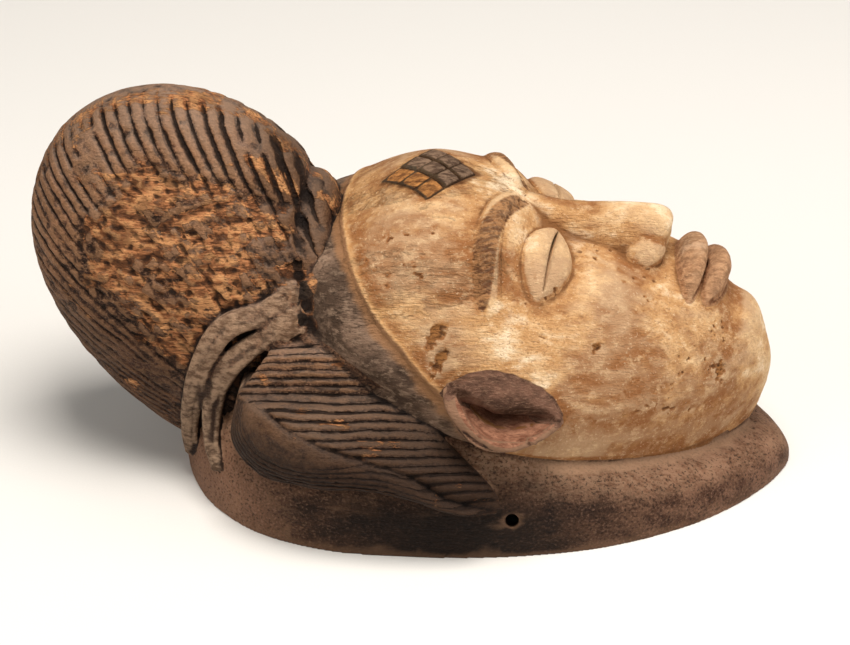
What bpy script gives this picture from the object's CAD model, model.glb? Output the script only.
import math
import bpy
import numpy as np
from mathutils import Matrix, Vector
from mathutils.kdtree import KDTree


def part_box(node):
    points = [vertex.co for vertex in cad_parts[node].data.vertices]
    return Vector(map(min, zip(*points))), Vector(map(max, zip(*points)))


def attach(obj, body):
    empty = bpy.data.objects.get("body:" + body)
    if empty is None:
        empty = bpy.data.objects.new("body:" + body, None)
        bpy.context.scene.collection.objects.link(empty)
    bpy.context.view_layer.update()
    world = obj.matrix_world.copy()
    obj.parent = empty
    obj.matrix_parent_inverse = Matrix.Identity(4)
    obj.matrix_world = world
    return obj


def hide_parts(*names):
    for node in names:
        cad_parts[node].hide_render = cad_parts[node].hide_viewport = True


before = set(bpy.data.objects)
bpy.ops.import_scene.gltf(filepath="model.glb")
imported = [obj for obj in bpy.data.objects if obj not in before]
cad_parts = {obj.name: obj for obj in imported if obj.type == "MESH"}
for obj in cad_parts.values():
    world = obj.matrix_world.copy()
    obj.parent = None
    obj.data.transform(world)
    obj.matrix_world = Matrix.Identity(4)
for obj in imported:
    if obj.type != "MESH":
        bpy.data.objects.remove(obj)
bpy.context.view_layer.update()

# lengths are in mm along the mask until toFrame turns them into the row's metres
rimTip = 169.5
shiftX = rimTip - 1000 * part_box("mask")[1].x
voxel = 0.62


def toFrame(points):
    return (np.asarray(points, float) - [shiftX, 0, 0]) / 1000


def fromFrame(points):
    return np.asarray(points, float) * 1000 + [shiftX, 0, 0]


def unit(vectors):
    return vectors / np.linalg.norm(vectors, axis=-1, keepdims=True)


def bell(x, middle, width):
    return np.exp(-(((x - middle) / width) ** 2))


def mix(a, b, t):
    return a + (b - a) * t


def ramp(start, end, x):
    t = np.clip((x - start) / (end - start), 0, 1)
    return t * t * (3 - 2 * t)


def dome(s):
    return np.sqrt(np.maximum(0, 1 - s * s))


def signedPower(x, p):
    return np.sign(x) * np.abs(x) ** p


def gridOf(rows, columns):
    return np.meshgrid(rows, columns, indexing="ij")


def turnsOf(step):
    return np.radians(np.arange(0, 360, step))


def closeAtEnds(count, start, end):
    a = np.radians(np.linspace(-90, 90, count + 1))
    return mix(start, end, (np.sin(a) + 1) / 2)


# a smooth curve through stations [x, value, ...]
def curveThrough(knots, x, which=1):
    knots = np.array(knots, float)
    at = knots[:, 0]
    value = knots[:, which]
    before = np.maximum(np.arange(len(at)) - 1, 0)
    after = np.minimum(np.arange(len(at)) + 1, len(at) - 1)
    slope = (value[after] - value[before]) / (at[after] - at[before])
    i = np.clip(np.searchsorted(at, x) - 1, 0, len(at) - 2)
    step = at[i + 1] - at[i]
    t = np.clip((x - at[i]) / step, 0, 1)
    bend = (t ** 3 - 2 * t * t + t) * slope[i] + (t ** 3 - t * t) * slope[i + 1]
    return mix(value[i], value[i + 1], t * t * (3 - 2 * t)) + bend * step


def pointOn(knots, x):
    return np.stack([curveThrough(knots, x, which) for which in (1, 2, 3)], -1)


# random values on a lattice, the same on every run
def lattice(x, y, z, seed):
    n = (x * 73856093) ^ (y * 19349663) ^ (z * 83492791) ^ (seed * 9973)
    n = ((n ^ (n >> 13)) * 1274126177) & 0xFFFFFFFF
    n = ((n ^ (n >> 15)) * 668265263) & 0xFFFFFFFF
    return ((n ^ (n >> 16)) & 0xFFFF) / 32767.5 - 1


def noise(points, size, seed=0, octaves=1):
    total = 0
    weight = 1
    for octave in range(octaves):
        p = points / np.asarray(size, float) * 2 ** octave + 31.7 + 5.3 * octave
        cell = np.floor(p).astype(np.int64)
        f = p - cell
        f = f * f * f * (f * (f * 6 - 15) + 10)
        x, y, z = cell[..., 0], cell[..., 1], cell[..., 2]
        rows = []
        for dy, dz in ((0, 0), (1, 0), (0, 1), (1, 1)):
            a = lattice(x, y + dy, z + dz, seed + octave)
            b = lattice(x + 1, y + dy, z + dz, seed + octave)
            rows.append(mix(a, b, f[..., 0]))
        near = mix(rows[0], rows[1], f[..., 1])
        far = mix(rows[2], rows[3], f[..., 1])
        total = total + weight * mix(near, far, f[..., 2])
        weight /= 2
    return total / (2 - 2 ** (1 - octaves))


# 0 in the middle of a groove and 1 halfway to the next, where phase counts the grooves
def fromGroove(phase):
    return np.abs((phase + 0.5) % 1 - 0.5) * 2


# each form is a closed skin that also carries how deep it is cut, how worn, and its groove count
def closedForm(kind, points, cut=0, worn=0, phase=0.5):
    rows, columns = points.shape[:2]
    corners = np.vstack([points[0].mean(0), points[1:-1].reshape(-1, 3), points[-1].mean(0)])
    ring = 1 + np.arange(rows - 2)[:, None] * columns + np.arange(columns)[None]
    turned = np.roll(ring, -1, 1)
    a, b, c, d = ring[:-1], turned[:-1], turned[1:], ring[1:]
    last = len(corners) - 1
    faces = np.vstack([
        np.stack([a, b, c], -1).reshape(-1, 3),
        np.stack([a, c, d], -1).reshape(-1, 3),
        np.stack([np.zeros(columns, int), turned[0], ring[0]], -1),
        np.stack([np.full(columns, last), ring[-1], turned[-1]], -1),
    ])
    p, q, r = (corners[faces[:, i]] for i in range(3))
    if np.einsum("ij,ij->i", p, np.cross(q, r)).sum() < 0:
        faces = faces[:, ::-1]
    form = {"kind": kind, "points": corners, "faces": faces}
    for name, value in (("cut", cut), ("worn", worn), ("phase", phase)):
        spread = np.broadcast_to(value, points.shape[:2])
        form[name] = np.concatenate([[spread[0, 0]], spread[1:-1].ravel(), [spread[-1, 0]]])
    return form


def mirrored(form):
    return {**form, "points": form["points"] * [1, -1, 1], "faces": form["faces"][:, ::-1]}


def addObject(name, data):
    thing = bpy.data.objects.new(name, data)
    bpy.context.scene.collection.objects.link(thing)
    return thing


def meshOf(name, forms):
    starts = np.cumsum([0] + [len(form["points"]) for form in forms])
    points = toFrame(np.vstack([form["points"] for form in forms]))
    faces = np.vstack([form["faces"] + start for form, start in zip(forms, starts)])
    mesh = bpy.data.meshes.new(name)
    mesh.from_pydata(points.tolist(), [], faces.tolist())
    return addObject(name, mesh)


def modify(thing, kind, **settings):
    modifier = thing.modifiers.new(kind, kind)
    for name, value in settings.items():
        setattr(modifier, name, value)
    depsgraph = bpy.context.evaluated_depsgraph_get()
    mesh = bpy.data.meshes.new_from_object(thing.evaluated_get(depsgraph))
    old = thing.data
    thing.modifiers.clear()
    thing.data = mesh
    bpy.data.meshes.remove(old)


def remesh(thing):
    modify(thing, "REMESH", mode="VOXEL", voxel_size=voxel / 1000)


def cutAway(thing, forms):
    for form in forms:
        cutter = meshOf("cutter", [form])
        modify(thing, "BOOLEAN", operation="DIFFERENCE", solver="MANIFOLD", object=cutter)
        bpy.data.objects.remove(cutter)


def joinUp(thing, forms):
    extra = meshOf("extra", forms)
    bpy.context.view_layer.update()
    with bpy.context.temp_override(active_object=thing, selected_editable_objects=[thing, extra]):
        bpy.ops.object.join()


def valuesOf(items, name, width, kind=np.float32):
    values = np.empty(len(items) * width, kind)
    items.foreach_get(name, values)
    return values.reshape(-1, width)


def pointsOf(mesh):
    return fromFrame(valuesOf(mesh.vertices, "co", 3))


def normalsOf(mesh):
    return valuesOf(mesh.vertex_normals, "vector", 3).astype(float)


def edgesOf(mesh):
    return valuesOf(mesh.edges, "vertices", 2, np.int32)


def movePoints(mesh, points):
    mesh.vertices.foreach_set("co", toFrame(points).ravel())
    mesh.update()


def neighbourMean(values, edges):
    size = len(values)
    count = np.bincount(edges.ravel(), minlength=size)
    a, b = edges.T
    sums = [np.bincount(a, column[b], size) + np.bincount(b, column[a], size) for column in values.T]
    return np.stack(sums, -1) / count[:, None]


# collar: the thick rim, an egg drawn out to a point under the chin, with a rounded shoulder
collar = {
    "back": -101, "widest": 5, "halfWidth": 85.5, "wall": 11, "roof": 12, "middle": 30, "square": 3,
    "heights": [[-101, 62], [-40, 60], [30, 60], [87, 44], [169.5, 27]],
    "toolMark": 0.5, "markLength": [26, 14, 9],
}


def rimPoint(turn, inset):
    front = np.cos(turn) > 0
    ahead = rimTip - collar["widest"] - inset * 1.6
    behind = collar["widest"] - collar["back"] - inset
    reach = np.where(front, ahead, behind)
    s = np.abs(np.cos(turn))
    full = np.where(front, (1 - s ** 2.3).clip(0) ** 0.68, (1 - s ** 2.8).clip(0) ** 0.5)
    y = (collar["halfWidth"] - inset) * full * np.sign(np.sin(turn))
    return collar["widest"] + np.cos(turn) * reach, y


def collarForm(kind, inset, roof, columns, rows, mark):
    rises = np.radians(np.concatenate([[0, 0], np.linspace(0, 90, rows)]))
    rise, turn = gridOf(rises, np.radians((np.arange(columns) + 0.5) * 360 / columns))
    x, y = rimPoint(turn, inset)
    height = curveThrough(collar["heights"], x) - roof
    k = np.cos(rise).clip(0) ** (2 / collar["square"])
    z = height * np.sin(rise).clip(0) ** (2 / collar["square"])
    points = np.stack([mix(collar["middle"], x, k), y * k, z], -1)
    points[1, :, 2] = -30
    points[0] = [collar["middle"], 0, -30]
    outward = unit(points - [collar["middle"], 0, 10])
    bumps = mark * (noise(points, collar["markLength"], 3, 3) - 0.6)
    points[2:] += (outward * bumps[..., None])[2:]
    return closedForm(kind, points)


# head: the face's own frame, u from hairline to chin, v across, w out of the face
head = {
    "x": -27, "z": 141, "tilt": math.radians(24.5),
    "crown": -28, "widest": 97, "chin": 211, "halfWidth": 69,
    "midline": [[-28, -54], [-13, -42], [-2, -28], [12, -7], [24, 8], [38, 17.5], [62, 21], [95, 19],
                [150, 20], [181, 13], [197, 3], [207, -10], [211, -28]],
    "sideline": [[-28, -54], [25, -50], [75, -50], [110, -47], [150, -38], [211, -30]],
    "under": 72, "wall": 13, "roof": 14,
    # brow bone, sockets, cheeks, the mound of the mouth, the chin: each height, u, width, v, width
    "relief": [[-7, 90, 15, 28, 19], [2.5, 68, 12, 22, 28], [4, 121, 22, 37, 17],
               [6, 157, 19, 0, 27], [-3, 175, 7, 0, 22], [6, 184, 13, 0, 20]],
}


def fromFace(u, v, w):
    c = math.cos(head["tilt"])
    s = math.sin(head["tilt"])
    u, v, w = np.broadcast_arrays(u, v, w)
    return np.stack([head["x"] + u * c + w * s, v, head["z"] - u * s + w * c], -1)


def toFace(points):
    c = math.cos(head["tilt"])
    s = math.sin(head["tilt"])
    x = points[..., 0] - head["x"]
    z = points[..., 2] - head["z"]
    return x * c - z * s, points[..., 1], x * s + z * c


def faceHalfWidth(u):
    front = u > head["widest"]
    length = np.where(front, head["chin"] - head["widest"], head["widest"] - head["crown"])
    s = np.minimum(1, np.abs(u - head["widest"]) / length)
    return head["halfWidth"] * np.where(front, (1 - s ** 1.8).clip(0) ** 0.75, dome(s))


def mounds(rows, u, v):
    side = np.abs(v)
    return sum(high * bell(u, at, long) * bell(side, out, wide) for high, at, long, out, wide in rows)


def faceHeight(u, v):
    s = np.minimum(1, np.abs(v) / np.maximum(1, faceHalfWidth(u))) ** (1 / 0.95)
    c = dome(s)
    low = curveThrough(head["sideline"], u)
    return mix(low, curveThrough(head["midline"], u), c) + mounds(head["relief"], u, v) * np.sqrt(c)


def around(over, under):
    above = np.linspace(-90, 90, over + 1)
    return np.radians(np.append(above, np.linspace(90, 270, under + 1)[1:-1]))


# a skin in the face's frame, from its half width and its height above the widest line
def headSkin(u, turn, half, heightAt):
    low = curveThrough(head["sideline"], u)
    c = np.cos(turn)
    v = half * signedPower(np.sin(turn), np.where(c > 0, 0.95, 0.7))
    w = np.where(c > 0, heightAt(low, v, c), low + head["under"] * c)
    w[0] = low[0]
    w[-1] = low[-1]
    return fromFace(u, v, w)


def headForm():
    u, turn = gridOf(closeAtEnds(170, head["crown"], head["chin"]), around(180, 24))
    points = headSkin(u, turn, faceHalfWidth(u), lambda low, v, c: faceHeight(u, v))
    points[..., 2] += 0.35 * noise(points, [30, 15, 15], 11, 2) * ramp(-0.2, 0.3, np.cos(turn))
    return closedForm("face", points)


def headHollow():
    start = head["crown"] + 2.1 * head["wall"]
    end = head["chin"] - 1.3 * head["wall"]
    u, turn = gridOf(closeAtEnds(60, start, end), around(72, 12))
    opened = dome((2 * (u - start) / (end - start) - 1) ** 2)
    half = np.maximum(0, faceHalfWidth(u) - head["wall"]) * opened
    roof = curveThrough(head["midline"], u) - head["roof"]
    return closedForm("inside", headSkin(u, turn, half, lambda low, v, c: mix(low, roof, c * opened)))


# crest: a fan of ribs, each in a plane through one far line that crosses the mask
crest = {
    "poleX": 45, "poleZ": -60, "middle": 134, "halfFan": 22, "ribs": 40, "groove": 2.3,
    "reach": 192, "slope": 29, "sag": 36.5, "halfDepth": 95.5, "halfWidth": 44, "fullness": 3.4,
    # worn patches on the mask's right and left: alpha, its half, turn, its half
    "patch": [127.5, 11.5, -80, 42], "farPatch": [131, 8, 80, 24], "chip": 5, "chipDepth": 1.3,
}


def crestForm():
    first = crest["middle"] - crest["halfFan"]
    period = 2 * crest["halfFan"] / crest["ribs"]
    alphas = np.linspace(first, crest["middle"] + crest["halfFan"], crest["ribs"] * 10 + 1)
    alpha, turn = gridOf(alphas, np.arange(-180, 180, 1.5))
    s = (alpha - crest["middle"]) / crest["halfFan"]
    opened = dome(s)
    # low down beside the head the crest keeps its width almost to its end
    full = np.where(s < 0, (1 - np.abs(s) ** crest["fullness"]).clip(0) ** (1 / crest["fullness"]), opened)
    c = np.cos(np.radians(turn))
    wide = mix(opened, full, ramp(0.5, -0.1, c))
    r = crest["reach"] - crest["slope"] * s - crest["sag"] * s * s

    def place(cut):
        radius = r + (crest["halfDepth"] * opened - cut) * c
        y = (crest["halfWidth"] * wide - cut) * signedPower(np.sin(np.radians(turn)), 0.9)
        a = np.radians(alpha)
        return np.stack([crest["poleX"] + radius * np.cos(a), y, crest["poleZ"] + radius * np.sin(a)], -1)

    bare = place(0)

    # 1 at the ragged edge of a worn patch, less inside it
    def ragged(patch, amount, size, seed):
        alphaAt, alphaHalf, turnAt, turnHalf = patch
        fromMiddle = np.hypot((alpha - alphaAt) / alphaHalf, (turn - turnAt) / turnHalf)
        return fromMiddle + amount * noise(bare, size, seed, 3)

    # hand-cut grooves wander; they are deep and wide beside the head, shallow and close at the back,
    # and stop short of the smooth spine along the top
    phase = (alpha - first) / period + 0.2 * noise(bare, 24, 21, 2) + 0.05 * noise(bare, 4, 22)
    each = lattice(np.floor(phase + 0.5).astype(np.int64), 0, 0, 5)
    toBack = ramp(116, 141, alpha)
    spine = np.where(turn < 0, ramp(1, 12, -turn), ramp(11, 24, turn))
    whole = ramp(-0.55, -0.1, noise(bare, [24, 9, 12], 23, 2) + 0.25 * each)
    uneven = (1 + 0.35 * each + 0.4 * noise(bare, 15, 25, 2)).clip(0.3)
    byHead = ramp(121, 113.5, alpha)
    strength = mix(0.95, 0.5, toBack) * (1 + 0.7 * byHead) * uneven
    strength = strength * spine * whole * ramp(0.1, 0.4, opened)
    # what has broken and worn, and a smooth heel below the last grooves
    worn = ramp(1.25, 0.8, ragged(crest["patch"], 0.4, 17, 31))
    wear = np.maximum(worn, 0.7 * ramp(1.1, 0.6, ragged(crest["farPatch"], 0.3, 15, 33)))
    heel = ramp(-84, -92, turn) * ramp(121, 118, alpha)
    # the wood has split off in small blocks that follow the ribs, with short fibres along the grain
    along = turn * 1.5 / crest["chip"] + 0.9 * noise(bare, 12, 41, 2)
    across = phase + 0.8 * noise(bare, 10, 42, 2)
    block = lattice(np.floor(along).astype(np.int64), np.floor(across).astype(np.int64), 7, 3)
    fibres = noise(bare, [9, 2.6, 2.2], 43, 2)
    seam = ramp(0.22, 0.02, np.minimum(fromGroove(along), fromGroove(across))) * ramp(-0.4, 0.3, block)
    cut = crest["groove"] * strength * ramp(mix(0.6, 0.4, toBack), 0.05, fromGroove(phase))
    cut = cut * (1 - 0.7 * worn) * (1 - heel)
    missing = 0.7 + 0.5 * ramp(-0.2, 0.2, block) + 0.35 * block + 0.6 * fibres + 0.7 * seam
    cut += crest["chipDepth"] * ramp(0.1, 0.6, wear) * missing
    # small bites out of the ribs and a little unevenness everywhere
    bites = ramp(0.35, 0.6, noise(bare, [5, 4, 4], 47, 2)) * ramp(0.2, 0.5, opened)
    cut += 0.9 * bites + 0.35 * noise(bare, [10, 4, 4], 49, 2)
    cut += 0.3 * noise(bare, [26, 9, 9], 50, 2) + 0.3
    grooved = np.clip(0.6 * strength, 0, 1) * (1 - 0.85 * worn) * (1 - heel)
    freshly = wear * (0.74 + 0.34 * block + 0.5 * noise(bare, [22, 12, 14], 44, 2))
    rubbed = ramp(0, 0.45, noise(bare, [26, 12, 14], 51, 2)) * mix(1, 0.5, toBack) * (1 - heel)
    rubbed = np.maximum(rubbed, 0.7 * ramp(20, 4, np.abs(turn + 2)))
    cut = cut * ramp(0, 0.25, opened)
    return closedForm("crest", place(cut), grooved, np.maximum(freshly, 0.72 * rubbed), phase)


# tress: on each side a swelling of plaits above, and a smooth leaf below that hangs over the collar
tress = {
    "inner": [[0, -31, -48, 85], [0.13, -21, -54, 79], [0.36, -4, -61, 65], [0.56, 17, -69, 53],
              [0.72, 29, -75, 44], [0.88, 40, -81, 35], [1, 44, -84, 27]],
    "ridge": [[0, -53, -49, 84], [0.25, -65, -56, 68], [0.37, -69, -61, 62], [0.46, -54, -75, 64.5],
              [0.58, -41, -83, 58.5], [0.7, -16, -87.5, 52], [0.82, 9, -88.5, 43], [0.94, 23, -87, 31.5],
              [1, 40, -84.5, 26]],
    "plaits": 20, "groove": 2.2, "swell": 4.5, "thick": 28, "inward": [0.05, 0.72, -0.69],
}
leaf = {
    "upper": [[0, -70, -59, 60], [0.12, -60, -71, 64], [0.28, -43, -82, 59], [0.45, -26, -86, 53.5],
              [0.68, 2, -88.5, 46], [0.85, 22, -87, 33], [1, 42, -84, 25]],
    "lower": [[0, -71, -60, 57], [0.1, -72, -64, 43], [0.22, -61, -74, 34], [0.4, -38, -84, 34],
              [0.6, -8, -88, 35.5], [0.8, 20, -88, 28.5], [1, 43, -84, 23]],
    "strand": 2.4, "combed": 15, "groove": 1.3, "swell": 5, "thick": 22, "inward": [0.05, 0.97, 0.1],
}


def padForm(side, kind, rows, columns, shape, edgeA, edgeB, cutAt):
    row, t = gridOf(np.linspace(0, 1, rows), np.append(np.linspace(0, 1, columns), [1, 0]))
    a = pointOn(shape[edgeA], row)
    b = pointOn(shape[edgeB], row)
    swell = shape["swell"] * np.sqrt((4 * t * (1 - t)).clip(0)) * ramp(0, 0.12, row) * ramp(1, 0.9, row)
    flat = mix(a, b, t[..., None])
    depth, cut, worn, phase = cutAt(row, t, flat * [1, side, 1])
    proud = swell - depth
    proud[:, -2:] = -shape["thick"]
    points = flat - np.array(shape["inward"]) * proud[..., None]
    points[0] = flat[0, columns // 2]
    points[-1] = flat[-1, columns // 2]
    return closedForm(kind, points, cut, worn, phase)


def padPair(*settings):
    return [padForm(1, *settings), mirrored(padForm(-1, *settings))]


def plaitCut(row, t, points):
    phase = row * tress["plaits"] + 0.22 * noise(points, 14, 61, 2)
    each = lattice(np.floor(phase + 0.5).astype(np.int64), 1, 0, 6)
    strength = (1 + 0.3 * each + 0.35 * noise(points, 9, 63, 2)).clip(0.4) * ramp(0, 0.06, t)
    depth = tress["groove"] * strength * ramp(0.5, 0.04, fromGroove(phase))
    worn = ramp(0.2, 0.55, noise(points, [15, 7, 5], 65, 2))
    rough = 0.35 * noise(points, [6, 2.2, 2.2], 67, 2)
    return depth + rough + 0.3 * worn, 0.55 * strength, 0.5 * worn, phase


# the fine strands follow the leaf's lower edge and run out where they meet the ridge above
def leafCut(row, t, points):
    width = np.linalg.norm(pointOn(leaf["lower"], row) - pointOn(leaf["upper"], row), axis=-1)
    fromEdge = (1 - t) * width
    phase = fromEdge / leaf["strand"] + 0.2 * noise(points, [20, 9, 9], 71, 2)
    strength = ramp(leaf["combed"] + 1, leaf["combed"] - 2, fromEdge) * ramp(0.2, 1.2, fromEdge)
    strength = strength * (1 + 0.4 * noise(points, 8, 76))
    rough = 0.4 * noise(points, [7, 3, 3], 73, 2) + 0.2 * noise(points, 1.8, 74)
    depth = leaf["groove"] * strength * ramp(0.62, 0.08, fromGroove(phase)) + rough
    return depth, 0.6 * strength, 0.25 * ramp(0.3, 0.6, noise(points, 11, 75, 2)), phase


# strap: two flat bands wind round the root of each tress, from the collar up to the head
strap = {
    "outer": [[0, -94, -34, 12], [1, -94, -38, 30], [2, -91, -43, 50], [3, -85, -45.5, 71],
              [4, -75, -45, 87], [5, -58, -43, 94], [6, -41, -44, 106]],
    "inner": [[0, -79, -57, 20], [1, -83, -49, 33], [2, -82, -45, 49], [3, -76, -46, 65],
              [4, -67, -46, 76], [5, -55, -46, 85], [6, -40, -48, 97]],
    "halfWidth": [3.4, 5.4], "proud": 3, "out": [-0.1, -0.96, 0.26],
}


def strapForm(path):
    stops = np.linspace(0, 6, 110)
    middle = pointOn(strap[path], stops)
    along = unit(np.gradient(middle, axis=0))
    across = unit(np.cross(along, strap["out"]))
    up = np.cross(across, along)
    turn = turnsOf(9)
    half = mix(*strap["halfWidth"], ramp(0, 4.2, stops)) * (1 + 0.14 * noise(middle, 13, 85))
    c = signedPower(np.cos(turn), 0.5)
    sinks = 1.15 * ramp(5.2, 6, stops) + 0.5 * ramp(0.7, 0, stops)
    lift = signedPower(np.sin(turn), 0.45) * np.where(turn > math.pi, 2, 1) - sinks[:, None]
    points = middle[:, None] + across[:, None] * (half[:, None] * c)[..., None]
    points = points + up[:, None] * (strap["proud"] * lift)[..., None]
    # fibres run along the band, and it is thicker in some places than in others
    drawn = np.stack(np.broadcast_arrays(stops[:, None] * 1.1, c[None] * 3, 0 * c[None]), -1)
    rough = noise(drawn, 1, 81, 2) + 0.8 * noise(points, 9, 83)
    points += up[:, None] * (0.6 * rough)[..., None] * (np.sin(turn) > 0)[None, :, None]
    points[0] = middle[0]
    points[-1] = middle[-1]
    return closedForm("strap", points, 0, 0.5 * ramp(0.2, 0.8, rough))


# knot: the lump of worn wood where the bands, the crest and the head's edge run together
knot = {"at": [-42, -37, 100], "size": [17, 8, 10]}


def knotForm():
    a, b = gridOf(np.radians(np.linspace(-90, 90, 31)), turnsOf(8))
    ball = np.stack([np.sin(a), np.cos(a) * np.sin(b), np.cos(a) * np.cos(b)], -1)
    points = np.array(knot["at"]) + ball * knot["size"]
    points += ball * (0.9 * noise(points, [8, 4, 4], 87, 3))[..., None]
    return closedForm("knot", points, 0, 0.6 + 0.3 * noise(points, 8, 88))


# features stand on the face as mounds along a path
def mound(kind, s, pathAt, halfWidthAt, proudAt, sunk=6, columns=60):
    s, turn = gridOf(s, turnsOf(360 / columns))
    u, v = pathAt(s)
    nextU, nextV = pathAt(s + 1e-3)
    length = np.hypot(nextU - u, nextV - v)
    out = np.cos(turn) * halfWidthAt(s)
    lift = np.sin(turn)
    lift[[0, -1]] = 0
    out[[0, -1]] = 0
    mu = u - (nextV - v) / length * out
    mv = v + (nextU - u) / length * out
    w = faceHeight(mu, mv) + np.where(lift > 0, lift * proudAt(s), lift * sunk)
    w[[0, -1]] -= 1
    return closedForm(kind, fromFace(mu, mv, w))


eye = {"u": 89, "v": 28, "halfLength": 17.5, "halfHeight": 11, "proud": 8.5, "slit": 2, "slitHalf": 15}
brow = {"u": 72, "v": 30, "halfLength": 25, "rise": 11, "halfWidth": 4.6, "proud": 3.6, "stroke": 2.3}
nose = {
    "from": 73, "to": 137, "halfWidth": 16, "wing": 7.5,
    "proud": [[0, 1], [0.3, 8.82], [0.8, 21], [0.93, 19.95], [1, 10.5]],
    "half": [[0, 3], [0.3, 7], [0.7, 9.5], [0.9, 10.5], [1, 8]],
}
mouth = {"upper": 150, "lower": 163, "halfLength": 23, "halfHeight": 6.1, "proud": 10}
sines = np.sin(np.radians(np.linspace(-90, 90, 61)))


def eyelid():
    return mound("face", sines, lambda s: (eye["u"] + 0 * s, -eye["v"] + s * eye["halfLength"]),
                 lambda s: eye["halfHeight"] * dome(s) ** 1.5, lambda s: eye["proud"] * dome(s))


def slit():
    s = np.array([-1.03, -1, -0.75, -0.5, -0.25, 0, 0.25, 0.5, 0.75, 1, 1.03])[:, None]
    sides = np.array([[1, 30], [-1, 30], [-1, -45], [1, -45]], float)
    half = eye["slit"] / 2 * (0.35 + 0.65 * dome(s))
    v = -eye["v"] + s * eye["slitHalf"]
    w = faceHeight(eye["u"] + 0 * v, v) + sides[None, :, 1]
    u = eye["u"] + 1.5 * s * s + sides[None, :, 0] * half
    w[[0, -1]] = w[[0, -1]].mean(1, keepdims=True)
    u[[0, -1]] = u[[0, -1]].mean(1, keepdims=True)
    return closedForm("slit", fromFace(u, v, w))


def browPath(s):
    return brow["u"] - brow["rise"] * (1 - s * s) + 2.5 * s, -brow["v"] - s * brow["halfLength"]


def browForm():
    return mound("face", sines, browPath, lambda s: brow["halfWidth"] * dome(s) ** 0.7,
                 lambda s: brow["proud"] * dome(s) ** 0.6, 4)


def noseBridge():
    s = np.append(np.linspace(0, 0.9, 46), mix(0.9, 1, np.sin(np.radians(np.linspace(5, 90, 18)))))
    return mound("face", s, lambda t: (mix(nose["from"], nose["to"], t), 0 * t),
                 lambda t: curveThrough(nose["half"], t), lambda t: curveThrough(nose["proud"], t), 6, 90)


def noseWing():
    inward = nose["wing"] - nose["halfWidth"]
    return mound("face", sines, lambda s: (nose["to"] - 8 + s * 8, inward - 1.5 * s),
                 lambda s: nose["wing"] * dome(s), lambda s: 11 * dome(s) ** 0.7)


def lip(u, curl, size):
    return mound("lips", sines, lambda s: (u + curl * s * s, s * mouth["halfLength"] * size),
                 lambda s: mouth["halfHeight"] * dome(s) ** 1.2, lambda s: mouth["proud"] * dome(s), 6, 80)


# ear: a bowl that leans out from the head, pointed at both ends, its upper edge folded in
ear = {
    "u": 94, "v": 74, "w": -38, "halfLength": 26.5, "halfHeight": 20, "above": 0.72, "raised": 4,
    "pointed": 1.7, "rise": 3, "depth": 17, "wall": 4, "lean": math.radians(42), "flap": 6.8,
}


def earPoint(along, down, out):
    c = math.cos(ear["lean"])
    s = math.sin(ear["lean"])
    down = down - ear["raised"] - ear["rise"] * along / ear["halfLength"]
    v = ear["v"] + down * c + out * s
    return fromFace(ear["u"] + along, -v, ear["w"] - down * s + out * c)


# how far a point lies below the ear's rim, into its hollow
def earDepth(points):
    u, v, w = toFace(points)
    return -((np.abs(v) - ear["v"]) * math.sin(ear["lean"]) + (w - ear["w"]) * math.cos(ear["lean"]))


# the bowl from outside, or its hollow, which is smaller all round and reaches over the rim
def earBowl(kind, inset, over, shift):
    s, turn = gridOf(sines, turnsOf(5))
    opened = dome(s) ** ear["pointed"]
    half = (ear["halfHeight"] - 0.8 * inset) * np.where(np.cos(turn) < 0, ear["above"], 1)
    out = np.sin(turn) * np.where(turn > math.pi, ear["depth"] - inset, over) * opened + shift
    along = s * (ear["halfLength"] - inset) + shift / 2
    return closedForm(kind, earPoint(along, np.cos(turn) * half * opened, out))


def earFlap():
    s, turn = gridOf(np.linspace(-1, 1, 61), turnsOf(6))
    reach = ear["flap"] * (1 - np.abs(s + 0.08) ** 1.4).clip(0) + 1.5
    top = (1 - ear["halfHeight"] * ear["above"]) * dome(s) ** ear["pointed"]
    lower = (np.cos(turn) + 1) / 2
    out = np.sin(turn) * np.where(turn > math.pi, 10 * (1 - 0.6 * lower), 2.4) + 1.8 - 5 * lower ** 1.5
    return closedForm("earFlap", earPoint(s * (ear["halfLength"] - 2), top + lower * 2 * reach, out))


# tieHole: a round hole slants down through each side of the collar
tieHole = {"x": 48.5, "y": 80, "z": 18, "radius": 2.9, "tilt": math.radians(28),
           "outside": 20, "inside": 26}


def tieHoleForm():
    turn = turnsOf(12)
    direction = np.array([0, -math.cos(tieHole["tilt"]), math.sin(tieHole["tilt"])])
    across = np.array([1.0, 0, 0])
    up = np.cross(direction, across)
    ring = tieHole["radius"] * (np.cos(turn)[:, None] * across + np.sin(turn)[:, None] * up)
    centre = np.array([tieHole["x"], -tieHole["y"], tieHole["z"]])
    start, end = -tieHole["inside"], tieHole["outside"]
    rings = [centre + direction * stop + size * ring
             for size, stop in ((0, start), (1, start), (1, end), (0, end))]
    return closedForm("tieHole", np.stack(rings))


def belowForm():
    size = 600
    ring = np.array([[-size, -size], [size, -size], [size, size], [-size, size]], float)
    rows = [np.c_[ring * k, np.full(4, z)] for k, z in ((0, -200), (1, -200), (1, 0), (0, 0))]
    return closedForm("rimFace", np.stack(rows))


def bothSides(make, *settings):
    form = make(*settings)
    return [form, mirrored(form)]


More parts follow.
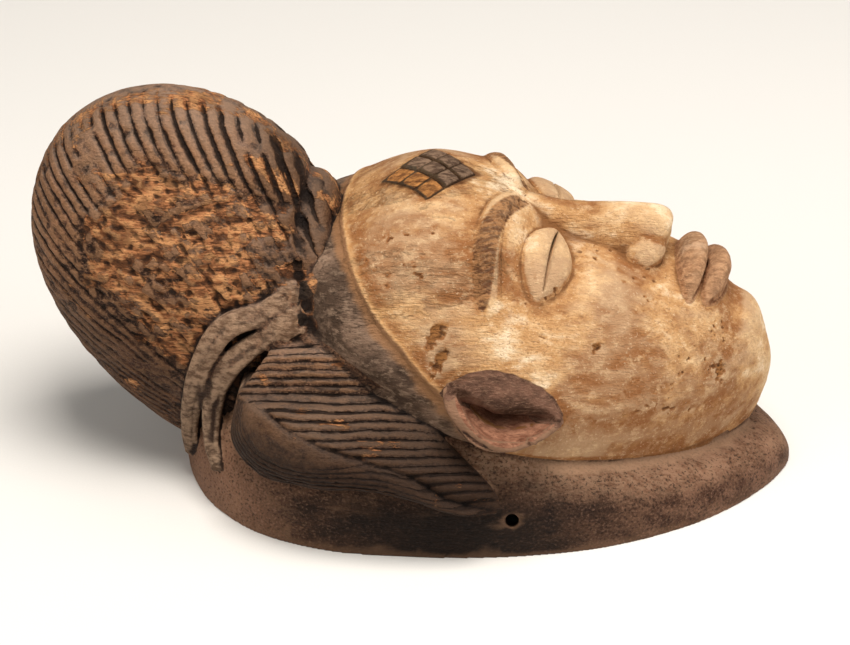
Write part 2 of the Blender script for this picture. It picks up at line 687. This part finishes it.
outside = [collarForm("collar", 0, 0, 360, 70, collar["toolMark"]), headForm(), crestForm(), noseBridge()]
outside += padPair("tress", 321, 30, tress, "inner", "ridge", plaitCut)
outside += padPair("tress", 120, 80, leaf, "upper", "lower", leafCut)
outside += bothSides(strapForm, "outer") + bothSides(strapForm, "inner") + bothSides(knotForm)
outside += bothSides(eyelid) + bothSides(browForm) + bothSides(noseWing)
outside += bothSides(earBowl, "ear", 0, 3, 0)
outside += [lip(mouth["upper"], 2.5, 1), lip(mouth["lower"], -3.5, 0.86)]
flaps = bothSides(earFlap)
earHollows = bothSides(earBowl, "earHollow", ear["wall"], 12, 1)
cutters = [collarForm("inside", collar["wall"], collar["roof"], 120, 24, 0), headHollow(), belowForm()]
cutters += bothSides(tieHoleForm)
slits = bothSides(slit)
print("forms made:", sum(len(form["faces"]) for form in outside), "faces")

mask = meshOf("carvedMask", outside)
remesh(mask)
print("joined:", len(mask.data.polygons), "faces")
cutAway(mask, earHollows + cutters)
bpy.context.view_layer.update()
joinUp(mask, flaps)
remesh(mask)
print("hollowed, ears folded:", len(mask.data.polygons), "faces")

# lozenge: nine small scales on the forehead, raised on the finished skin, three of them rubbed down
lozenge = {"u": 33, "length": 11.4, "width": 14, "gap": 0.9, "proud": 1, "rubbed": 0.4}
# hairline: the whitened area stands a little proud and ends in a crisp edge across forehead and temples
hairline = {"u": 74, "length": 69, "reach": 74, "power": 2.2, "proud": 0.8}
# band: a low roll of the headdress round the hairline, with a valley behind it; places are mm outside
band = {"at": 8.5, "halfWidth": 5.5, "proud": 1.7, "valleyAt": 17.5, "valleyHalf": 3.6, "valleyDepth": 2.8}
# chips: small breaks at the temple and jaw of the mask's right, each u, v and size
chips = [[56, -60, 2.4], [62, -64, 1.7], [178, -30, 2], [143, 46, 3], [120, -52, 1.4]]


# how far a point lies inside the nearest scale, and whether that scale is rubbed down
def scaleAt(u, v):
    across = v / lozenge["width"]
    along = (u - lozenge["u"]) / lozenge["length"]
    i, j = (np.clip(np.round(x), -1, 1) for x in (across + along, across - along))
    off = np.maximum(np.abs(across + along - i), np.abs(across - along - j))
    side = math.hypot(1 / lozenge["width"], 1 / lozenge["length"])
    inside = np.where((np.abs(v) < 27) & (u < 58), (0.5 - off) / side - lozenge["gap"] / 2, -20)
    return inside, i < 0


# distance inside the hairline; on the steep temples the skin's depth counts as well as its width
def hairlineDistance(u, v, w):
    reach = np.abs(v) + 0.5 * np.maximum(0, -20 - w)
    half = hairline["reach"] + 0.25 * np.maximum(0, u - 45)
    p = hairline["power"]
    across = reach / half
    along = np.maximum(0, hairline["u"] - u) / hairline["length"]
    q = np.maximum((across ** p + along ** p) ** (1 / p), 1e-3)
    slope = np.hypot((across / q) ** (p - 1) / half, (along / q) ** (p - 1) / hairline["length"])
    return (1 - q) / np.maximum(slope, 1e-3)


def browDistance(u, v):
    side = np.abs(v)
    s = np.clip((side - brow["v"]) / brow["halfLength"], -1, 1)
    middle = brow["u"] - brow["rise"] * (1 - s * s) - 2.5 * s
    past = np.maximum(0, np.abs(side - brow["v"]) - brow["halfLength"])
    return brow["halfWidth"] * dome(s) ** 0.7 - np.hypot(u - middle, past)


def chipped(points, u, v):
    deepest = 0 * u
    for chipU, chipV, size in chips:
        away = np.hypot((u - chipU) / 1.6, v - chipV) / size + 0.5 * noise(points, size * 0.9, 99, 2)
        deepest = np.maximum(deepest, ramp(1, 0.4, away))
    return deepest


# the fine relief: depths in mm, and how far the features are softened
skin = {
    "soften": 4.5, "wave": 0.16, "waveOnHair": 0.2, "stroke": 0.32, "pit": 0.55, "chip": 0.9,
    "gouge": 0.9, "triangles": 195000,
}
points = pointsOf(mask.data)
edges = edgesOf(mask.data)

# soften the features into the face, as a blade and years of handling leave them
u, v, w = toFace(points)
low = curveThrough(head["sideline"], u)
onFace = ramp(0, 8, hairlineDistance(u, v, w)) * ramp(low + 3, low + 12, w)
onFace = onFace * ramp(-40, -28, w - faceHeight(u, v))
for turn in range(int(skin["soften"] / voxel)):
    points += 0.8 * onFace[:, None] * (neighbourMean(points, edges) - points)
movePoints(mask.data, points)
normals = normalsOf(mask.data)

# cut and raise the fine relief along the skin's own normals
u, v, w = toFace(points)
height = faceHeight(u, v)
skinOfHead = ramp(-26, -14, w - height) * ramp(low - 6, low, w) * ramp(-0.1, 0.15, normals[:, 2])
edgeOfWhite = hairlineDistance(u, v, w)
lift = hairline["proud"] * ramp(-0.5, 0.5, edgeOfWhite) + 0.4 * bell(edgeOfWhite, 1.2, 1.3)
lift += band["proud"] * bell(edgeOfWhite, -band["at"], band["halfWidth"])
lift -= band["valleyDepth"] * bell(edgeOfWhite, -band["valleyAt"], band["valleyHalf"])
lift *= skinOfHead
inScale, rubbedDown = scaleAt(u, v)
scaleLift = lozenge["proud"] * mix(1, lozenge["rubbed"], rubbedDown) * ramp(-0.35, 0.35, inScale)
lift += scaleLift * ramp(-9, -4, w - height)
stroke = np.sin((np.abs(v) * 1.25 + u * 0.5) * 2 * math.pi / brow["stroke"] + 2.2 * noise(points, 5, 91))
onBrow = ramp(-0.4, 0.8, browDistance(u, v)) * ramp(-7, -3, w - height) * onFace
lift -= skin["stroke"] * onBrow * ramp(-0.2, 0.7, stroke)
wave = skin["wave"] * onFace + skin["waveOnHair"] * skinOfHead * (1 - onFace)
lift += wave * noise(points, [14, 5, 5], 93, 3)
pits = ramp(0.5, 0.72, noise(points, [3.4, 2.4, 2.4], 95, 2)) * ramp(0.05, 0.5, noise(points, 24, 97))
lift -= skin["pit"] * pits * onFace
lift -= skin["chip"] * chipped(points, u, v) * skinOfHead
# broad gouge marks are left inside and underneath
underneath = ramp(-0.15, -0.45, normals[:, 2]) * ramp(1, 5, points[:, 2])
lift -= skin["gouge"] * underneath * (0.6 - np.abs(noise(points, [20, 9, 14], 98)))
points += normals * lift[:, None]

# the rim face stays flat, and everything stays in the CAD's box
lowest, highest = (fromFrame(corner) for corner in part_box("mask"))
down = (points[:, 2] < 0.5) & (normals[:, 2] < -0.6)
points = np.clip(points, lowest + 0.01, highest - 0.01)
points[down, 2] = 0
movePoints(mask.data, points)
cutAway(mask, slits)
print("relief cut")


def trianglesOf(mesh):
    return sum(len(face.vertices) - 2 for face in mesh.polygons)


modify(mask, "DECIMATE", ratio=skin["triangles"] / trianglesOf(mask.data))
mask.data.polygons.foreach_set("use_smooth", np.ones(len(mask.data.polygons), bool))
movePoints(mask.data, np.clip(pointsOf(mask.data), [lowest[0], lowest[1], 0], highest))
print("thinned:", trianglesOf(mask.data), "triangles")

# what the wood carries at each point: how far it is inside each kind of wood, its cuts, wear and dips
points = pointsOf(mask.data)
normals = normalsOf(mask.data)
edges = edgesOf(mask.data)
sources = outside + earHollows + flaps + cutters
sourcePoints = np.vstack([form["points"] for form in sources])
sourceForm = np.repeat(np.arange(len(sources)), [len(form["points"]) for form in sources])
sourceKind = np.array([form["kind"] for form in sources])[sourceForm]
kinds = ["face", "lips", "ear", "earHollow", "earFlap", "hair", "collar", "inside"]
hair = ["crest", "tress", "strap", "knot"]


def treeOf(kind):
    found = np.flatnonzero(np.isin(sourceKind, hair if kind == "hair" else kind))
    tree = KDTree(len(found))
    for i, point in zip(found.tolist(), sourcePoints[found].tolist()):
        tree.insert(point, i)
    tree.balance()
    return tree


pointList = points.tolist()
trees = {kind: treeOf(kind) for kind in kinds}
away = {kind: np.array([tree.find(point)[2] for point in pointList]) for kind, tree in trees.items()}
away["earFlap"] -= 1.2
print("kinds found")

# cuts, wear and the count of grooves are blended from the nearest points of the same form
nearest = [trees["hair"].find_n(point, 4) for point in pointList]
index = np.array([[found[1] for found in row] for row in nearest])
gap = np.array([[found[2] for found in row] for row in nearest])
weight = (sourceForm[index] == sourceForm[index[:, :1]]) / (gap ** 2 + 0.05)
weight /= weight.sum(1, keepdims=True)


def blended(name):
    values = np.concatenate([form[name] for form in sources])
    return (values[index] * weight).sum(1)


def carry(name, values):
    attribute = mask.data.attributes.new(name, "FLOAT", "POINT")
    attribute.data.foreach_set("value", np.asarray(values, np.float32))


# dips and crests of the surface at two scales: negative in a recess, positive on an edge
def bulge(times):
    moved = points.copy()
    for turn in range(times):
        moved = 0.5 * moved + 0.5 * neighbourMean(moved, edges)
    return ((points - moved) * normals).sum(1)


for kind in kinds:
    others = np.min([away[other] for other in kinds if other != kind], 0)
    carry(kind, np.clip(others - away[kind], -6, 6))
u, v, w = toFace(points)
x, y, z = points.T
nearestKind = sourceKind[index[:, 0]]
carry("cut", blended("cut") * (away["hair"] < 1.3))
carry("worn", blended("worn"))
carry("phase", blended("phase"))
carry("strapHere", nearestKind == "strap")
crestShade = 0.6 * ramp(-80, -105, x) * ramp(115, 65, z)
crestShade = crestShade + 0.5 * ramp(-75, -50, x)
carry("shade", mix(ramp(88, 42, z), crestShade, nearestKind == "crest"))
carry("hairline", hairlineDistance(u, v, w))
inScale, rubbedDown = scaleAt(u, v)
carry("scale", inScale)
carry("scaleRubbed", rubbedDown)
carry("brow", np.where(away["face"] < 1.5, browDistance(u, v), -20))
carry("chip", chipped(points, u, v))
# where the clay lies thick: round the eyes and mouth; thin: forehead, cheeks, jaw and on the lids
clay = [
    [0.5, 86, 20, 44, 20], [0.8, 108, 10, 40, 26], [0.8, 141, 13, 20, 14], [0.5, 190, 14, 0, 24],
    [-0.8, 42, 17, 26, 24], [-0.8, 128, 22, 56, 14], [-0.3, 172, 15, 30, 18], [-0.8, 64, 16, 52, 16],
    [-1.2, 89, 11, 28, 15], [0.7, 120, 30, 0, 13],
]
carry("thick", mounds(clay, u, v) - 0.7 * ramp(-24, -44, w))
carry("top", ramp(0.35, 0.9, normals[:, 2]))
carry("soot", bell(x, 22, 72) * ramp(48, 16, z))
carry("tip", ramp(50, 150, x))
carry("toBack", ramp(-35, -75, x))
carry("earDeep", ramp(7, 15, earDepth(points)))
carry("dip", np.clip(bulge(6) / 0.35, -1, 1))
broadDip = np.clip(bulge(60) / 1.6, -1, 1)
carry("broadDip", broadDip)
carry("dust", ramp(-0.1, -0.7, broadDip) * ramp(45, 75, x))
print("masks carried")


def linear(code):
    channels = [int(code[i:i + 2], 16) / 255 for i in (1, 3, 5)]
    return [c / 12.92 if c <= 0.04045 else ((c + 0.055) / 1.055) ** 2.4 for c in channels] + [1]


# a material's node tree, with short names for the steps that its layers are made of
class Layers:
    def __init__(self, name):
        self.material = bpy.data.materials.new(name)
        self.material.use_nodes = True
        self.tree = self.material.node_tree
        self.tree.nodes.clear()
        self.place = self.node("TexCoord").outputs["Object"]

    # an input takes a plain value or another node's output
    def node(self, kind, inputs=None, **settings):
        node = self.tree.nodes.new("ShaderNode" + kind)
        for name, value in settings.items():
            setattr(node, name, value)
        for name, value in (inputs or {}).items():
            if isinstance(value, bpy.types.NodeSocket):
                self.tree.links.new(value, node.inputs[name])
            else:
                node.inputs[name].default_value = value
        return node

    # a value that the mesh carries, or a share of it
    def carried(self, name, share=1):
        value = self.node("Attribute", attribute_name=name).outputs["Fac"]
        return value if share == 1 else self.times(value, share)

    # a pattern whose features are about size mm, longer along the grain by stretch
    def pattern(self, size, stretch=1, detail=4, rough=0.55, shift=0):
        spread = self.node("Mapping", {"Vector": self.place, "Scale": (1 / stretch, 1, 1),
                                       "Location": (shift, shift * 0.7, -shift)})
        return self.node("TexNoise", {"Vector": spread.outputs[0], "Scale": 1000 / size,
                                      "Detail": detail, "Roughness": rough}).outputs["Fac"]

    def math(self, operation, a, b=None):
        inputs = {i: value for i, value in enumerate((a, b)) if value is not None}
        return self.node("Math", inputs, operation=operation).outputs[0]

    def times(self, a, b):
        return self.math("MULTIPLY", a, b)

    def ramp(self, value, low, high, top=1.0):
        inputs = {0: value, 1: low, 2: high, 4: top}
        return self.node("MapRange", inputs, interpolation_type="SMOOTHSTEP").outputs[0]

    # value plus how far a pattern is from its middle
    def shifted(self, value, pattern, amount):
        return self.math("ADD", value, self.times(self.math("SUBTRACT", pattern, 0.5), amount))

    def mix(self, factor, a, b):
        a, b = (linear(colour) if isinstance(colour, str) else colour for colour in (a, b))
        return self.node("Mix", {0: factor, 6: a, 7: b}, data_type="RGBA").outputs[2]

    # two colours, from a to b as value runs from low to high
    def blend(self, value, low, high, a, b, top=1.0):
        return self.mix(self.ramp(value, low, high, top), a, b)

    # two colours in small flecks
    def flecked(self, a, b):
        return self.blend(self.small, 0.38, 0.62, a, b)

    # colours laid over one another, each where its value runs from low to high
    def over(self, colour, rows):
        for value, low, high, top, above in rows:
            colour = self.blend(value, low, high, colour, above, top)
        return colour


def finishWood(p, colour, roughness, height, depth):
    bump = p.node("Bump", {"Distance": depth / 1000, "Height": height})
    surface = p.node("BsdfPrincipled", {
        "Base Color": colour, "Roughness": roughness, "Normal": bump.outputs[0],
        "IOR": 1.45, "Specular IOR Level": 0.15,
    })
    p.node("OutputMaterial", {"Surface": surface.outputs[0]})
    return p.material


# stained hair: dusty grey-brown on what stands out, dark brown between, near-black in the cuts
def stainedWood(p):
    stain = p.over(p.blend(p.middle, 0.36, 0.64, "#372419", "#6b4732"), [
        (p.broad, 0.46, 0.6, 0.6, "#836a58"),
        (p.broad, 0.49, 0.39, 0.75, "#28180f"),
        (p.eachRib, 0.3, 1, 0.5, "#40281a"),
        (p.small, 0.5, 0.62, 0.5, "#87614a"),
        (p.speck, 0.52, 0.64, 0.45, "#a27a5c"),
        (p.small, 0.46, 0.36, 0.5, "#27170e"),
        (p.speck, 0.48, 0.36, 0.7, "#1b100a"),
        (p.dip, 0.05, 0.6, 0.42, "#a97c58"),
    ])
    stain = p.mix(p.carried("top", 0.4), stain, "#8c7869")
    return p.mix(p.carried("shade", 0.9), stain, "#22140c")


# broken wood: orange-brown fibres with dark dirt between them
def bareWood(p):
    return p.over(p.blend(p.fibre, 0.38, 0.62, "#74472a", "#b97b4f"), [
        (p.flake, 0.5, 0.6, 0.7, "#cf9562"),
        (p.flake, 0.46, 0.38, 0.85, "#54321d"),
        (p.small, 0.46, 0.34, 0.7, "#6e5340"),
        (p.dip, 0.15, 0.8, 0.5, "#d09a66"),
        (p.broad, 0.44, 0.34, 0.6, "#4a2e1d"),
        (p.grain, 0.46, 0.36, 0.7, "#321c0e"),
    ])


# collar: dark stained side, sooty in its middle, a dusty shoulder, and a reddish tip rubbed by hands
def collarWood(p):
    shoulder = p.flecked("#7c5a42", "#b18d70")
    tip = p.blend(p.middle, 0.4, 0.6, "#5e3d2b", "#8b6650")
    wood = p.blend(p.middle, 0.36, 0.64, "#2c1c13", "#503626")
    for name, share, colour in (("toBack", 0.8, "#84604a"), ("top", 0.8, shoulder), ("tip", 0.5, tip)):
        wood = p.mix(p.carried(name, share), wood, colour)
    sootAt = p.shifted(p.shifted(p.carried("soot"), p.broad, 0.35), p.small, 0.4)
    wood = p.over(wood, [
        (p.small, 0.5, 0.62, 0.25, "#70523d"),
        (p.speck, 0.54, 0.64, 0.4, "#93705a"),
        (p.speck, 0.46, 0.36, 0.7, "#150c08"),
        (sootAt, 0.1, 1.05, 0.9, "#0d0704"),
    ])
    wood = p.mix(p.carried("dust", 0.6), wood, "#a98568")
    return p.blend(p.dip, 0.45, 1, wood, "#8f6c52", 0.3)


# ears: brown rim, a rosy hollow that darkens inwards, a grey-brown fold
def earWood(p, wood):
    rim = p.over(p.flecked("#33221a", "#664838"), [(p.dip, 0.1, 0.7, 0.6, "#9c775c")])
    bowl = p.over(p.blend(p.small, 0.35, 0.65, "#764b37", "#a3745a"), [
        (p.grain, 0.48, 0.38, 0.5, "#563426"),
        (p.carried("earDeep"), 0.1, 1, 0.85, "#3a2118"),
    ])
    fold = p.blend(p.middle, 0.38, 0.62, "#432d21", "#735241")
    fold = p.over(fold, [(p.grain, 0.5, 0.64, 0.4, "#96745d")])
    for kind, colour in (("ear", rim), ("earHollow", bowl), ("earFlap", fold)):
        wood = p.blend(p.carried(kind), -0.2, 0.2, wood, colour)
    return wood


# kaolin: cream where the clay lies thick, tan where it is thin, brown where hands and cuts took it
def whiteClay(p):
    thin = p.shifted(p.carried("thick", 0.16), p.broad, 1)
    thin = p.shifted(p.shifted(thin, p.middle, 0.7), p.small, 0.3)
    edge = p.shifted(p.carried("hairline"), p.small, 1.5)
    lipsAt = p.shifted(p.carried("lips"), p.middle, 1.5)
    lips = p.blend(p.small, 0.36, 0.64, "#6b4029", "#b0805e")
    brows = p.blend(p.small, 0.4, 0.6, "#553523", "#9c6f48")
    scales = p.flecked("#4f3b2e", "#866c57")
    scales = p.mix(p.carried("scaleRubbed"), scales, p.flecked("#6f4627", "#bd8148"))
    scaleAt = p.carried("scale")
    clay = p.over(p.blend(thin, -0.16, 0.12, "#8f5d36", "#c49664"), [
        (thin, 0.06, 0.26, 1.0, "#ecd4b2"),
        (p.mottle, 0.5, 0.66, 0.35, "#e3c093"),
        (p.mottle, 0.48, 0.34, 0.4, "#9a6b43"),
        (p.fibre, 0.56, 0.7, 0.2, "#9b6b43"),
        (p.speck, 0.44, 0.34, 0.55, "#855a3a"),
        (p.speck, 0.6, 0.7, 0.3, "#f3dcb8"),
        (p.dip, 0.1, 0.8, 0.35, "#e9cda5"),
        (p.dip, -0.1, -0.7, 0.85, "#603c22"),
        (p.broadDip, -0.1, -0.8, 0.5, "#8a5c35"),
        (edge, 2.2, 0.2, 0.45, "#d9a468"),
        (lipsAt, -0.4, 0.6, 0.7, lips),
        (p.carried("brow"), -0.6, 0.9, 0.85, brows),
        (scaleAt, -1.0, -0.5, 0.9, "#23150c"),
        (scaleAt, -0.1, 0.5, 0.96, scales),
    ])
    chip = p.blend(p.small, 0.4, 0.6, "#4b2e19", "#a5703f")
    return p.mix(p.carried("chip", 0.85), clay, chip)


# the whole finish: oiled and sooted softwood, with kaolin rubbed on the face
def paintedWood():
    p = Layers("softwood_carved_oiled_whitened")
    p.broad = p.pattern(34, 1.3, 3, 0.55, 1.1)
    p.middle = p.pattern(10, 1.8, 5, 0.62, 2.3)
    p.small = p.pattern(2.4, 2, 5, 0.68, 3.7)
    p.fibre = p.pattern(1.1, 12, 4, 0.6, 5.2)
    p.grain = p.pattern(0.9, 4, 3, 0.7, 6.1)
    p.flake = p.pattern(5, 2.2, 3, 0.55, 7.3)
    p.mottle = p.pattern(5, 1.3, 6, 0.72, 8.9)
    p.speck = p.pattern(1.1, 1.2, 3, 0.6, 9.7)
    p.dip = p.carried("dip")
    p.broadDip = p.carried("broadDip")

    # the grooves are drawn from their count, so they stay sharp between the mesh's points
    phase = p.carried("phase")
    offGroove = p.math("SUBTRACT", p.math("FRACT", p.math("ADD", phase, 0.5)), 0.5)
    offGroove = p.shifted(p.times(p.math("ABSOLUTE", offGroove), 2), p.small, 0.35)
    halfOpen = p.math("SUBTRACT", p.carried("cut", 0.7), 0.16)
    inGroove = p.ramp(p.math("SUBTRACT", halfOpen, offGroove), -0.12, 0.12)
    ribEdge = p.ramp(p.math("SUBTRACT", offGroove, halfOpen), 0.5, 0.12)
    p.eachRib = p.node("TexWhiteNoise", {"W": p.math("FLOOR", phase)}, noise_dimensions="1D").outputs[0]

    worn = p.times(p.carried("worn"), p.math("ADD", 0.9, p.times(ribEdge, 0.25)))
    worn = p.shifted(p.shifted(worn, p.middle, 1.3), p.small, 0.9)
    worn = p.shifted(worn, p.fibre, 0.5)
    bareHere = p.ramp(worn, 0.42, 0.66)
    wood = p.mix(bareHere, stainedWood(p), bareWood(p))
    wood = p.mix(p.times(inGroove, 0.85), wood, "#20140d")
    wood = p.over(wood, [(p.dip, -0.15, -0.85, 0.8, "#1b110b"), (p.broadDip, -0.25, -1, 0.8, "#160e0a")])
    strapWood = p.blend(p.small, 0.36, 0.62, "#5b4535", "#a78a70")
    wood = p.mix(p.times(p.carried("strapHere"), p.ramp(p.dip, -0.3, 0.4, 0.7)), wood, strapWood)

    # the headdress band and the bare wood behind it
    hairlineAt = p.carried("hairline")
    bandWood = p.over(p.blend(p.middle, 0.38, 0.62, "#4d3b2e", "#846a57"), [
        (p.broad, 0.5, 0.36, 0.6, "#36271e"),
        (p.small, 0.5, 0.62, 0.5, "#9c826c"),
        (p.grain, 0.47, 0.37, 0.6, "#35271d"),
        (p.shifted(hairlineAt, p.small, 5), -11.5, -16, 0.9, "#1b120d"),
        (p.dip, -0.15, -0.85, 0.7, "#180f0a"),
    ])
    wood = p.blend(p.carried("face"), -0.25, 0.25, wood, bandWood)
    wood = p.blend(p.carried("collar"), -0.25, 0.25, wood, collarWood(p))
    wood = earWood(p, wood)

    # the clay runs out past its edge in a thin brown smear
    smear = p.shifted(p.shifted(hairlineAt, p.middle, 7), p.small, 2.5)
    onFace = p.ramp(p.math("MAXIMUM", p.carried("face"), p.carried("lips")), -0.2, 0.3)
    wood = p.mix(p.times(p.ramp(smear, -4.2, -1.5, 0.75), onFace), wood, "#9b6f4a")
    clayHere = p.times(p.ramp(p.shifted(hairlineAt, p.small, 1.2), -0.4, 0.4), onFace)
    colour = p.mix(clayHere, wood, whiteClay(p))
    inside = p.blend(p.middle, 0.36, 0.64, "#4d3323", "#7f5a3c")
    inside = p.over(inside, [(p.grain, 0.47, 0.37, 0.5, "#38241a")])
    colour = p.blend(p.carried("inside"), -0.5, 0.5, colour, inside)

    roughness = p.math("ADD", p.times(clayHere, 0.2), p.math("ADD", 0.5, p.times(p.small, 0.25)))
    height = p.math("ADD", p.times(p.fibre, 0.8), p.small)
    for more in (p.times(p.speck, 0.9), p.grain, p.times(p.times(p.fibre, bareHere), 1.5)):
        height = p.math("ADD", height, more)
    height = p.math("SUBTRACT", height, p.times(inGroove, 1.2))
    return finishWood(p, colour, roughness, height, 0.7)


mask.data.materials.clear()
mask.data.materials.append(paintedWood())
mask.data.polygons.foreach_set("material_index", np.zeros(len(mask.data.polygons), np.int32))
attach(mask, "root")
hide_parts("mask")
print("wood painted")

# stage: a pale floor, soft light from above and in front
floorMesh = bpy.data.meshes.new("floor")
floorMesh.from_pydata([(-6, -6, 0), (6, -6, 0), (6, 6, 0), (-6, 6, 0)], [], [(0, 1, 2, 3)])
floor = addObject("floor", floorMesh)
paper = Layers("paper_matt")
paperBump = paper.pattern(0.8)
paperColour = paper.mix(paperBump, "#dedbd6", "#e6e3de")
floorMesh.materials.append(finishWood(paper, paperColour, paperBump, paperBump, 0.01))


def addLight(name, place, size, power, code):
    data = bpy.data.lights.new(name, "AREA")
    data.size = size
    data.energy = power
    data.color = linear(code)[:3]
    light = addObject(name, data)
    light.location = place
    light.rotation_euler = (middleOfMask - Vector(place)).to_track_quat("-Z", "Y").to_euler()


middleOfMask = Vector((0, 0, 0.08))
addLight("keyLight", (0.1, -0.25, 1.5), 0.7, 27, "#fffaf4")
addLight("fillLight", (-1.2, -1.0, 0.8), 1.1, 9, "#fffdf9")
addLight("sideLight", (1.4, -0.3, 0.8), 0.9, 11, "#ffffff")
world = bpy.data.worlds.new("softRoom")
world.use_nodes = True
background = world.node_tree.nodes["Background"].inputs
background["Color"].default_value = linear("#f7f5f2")
background["Strength"].default_value = 0.2
bpy.context.scene.world = world
bpy.context.scene.view_settings.view_transform = "Standard"

# camera: a little to the right of the mask's side, a third of the way up
cameraAt = {"azimuth": math.radians(4), "elevation": math.radians(33), "distance": 1.25,
            "target": (0.0035, 0, 0.064), "lens": 120.7}
flat = math.cos(cameraAt["elevation"])
back = Vector((math.sin(cameraAt["azimuth"]) * flat, -math.cos(cameraAt["azimuth"]) * flat,
               math.sin(cameraAt["elevation"])))
cameraData = bpy.data.cameras.new("camera")
cameraData.lens = cameraAt["lens"]
cameraData.sensor_width = 36
camera = addObject("camera", cameraData)
camera.location = Vector(cameraAt["target"]) + back * cameraAt["distance"]
camera.rotation_euler = back.to_track_quat("Z", "Y").to_euler()
bpy.context.scene.camera = camera

print("stage set")
